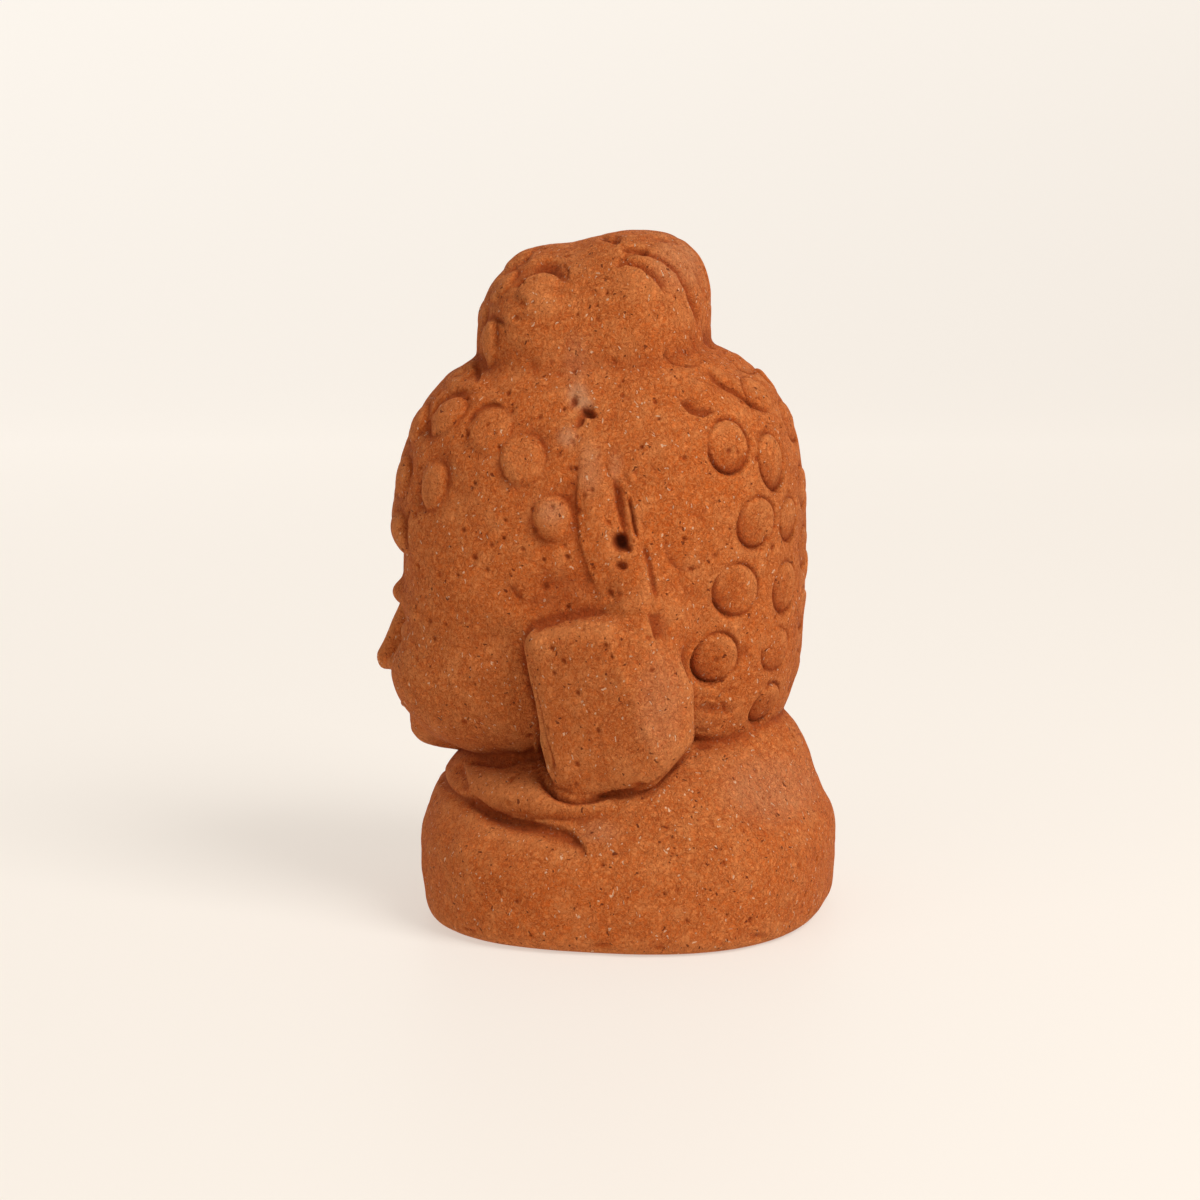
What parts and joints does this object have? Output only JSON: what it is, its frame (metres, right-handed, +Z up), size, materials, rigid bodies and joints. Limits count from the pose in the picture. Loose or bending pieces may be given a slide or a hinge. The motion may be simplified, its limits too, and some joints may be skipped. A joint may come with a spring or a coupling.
{
  "type": "buddha bust",
  "caption": "Small terracotta bust of a buddha with snail-curled hair, topknot and long ear lobes, standing on the flat underside of its shoulders.",
  "frame": {"origin": "centre of the bust's width at the middle of its shoulders, on the plane of the flat underside", "axes": "+Z up, -Y the way the face looks, +X towards the bust's own left ear"},
  "size_m": [0.1319, 0.1391, 0.2],
  "materials": {
    "terracotta": null
  },
  "bodies": {
    "root": {"bust": "terracotta"}
  },
  "joints": []
}
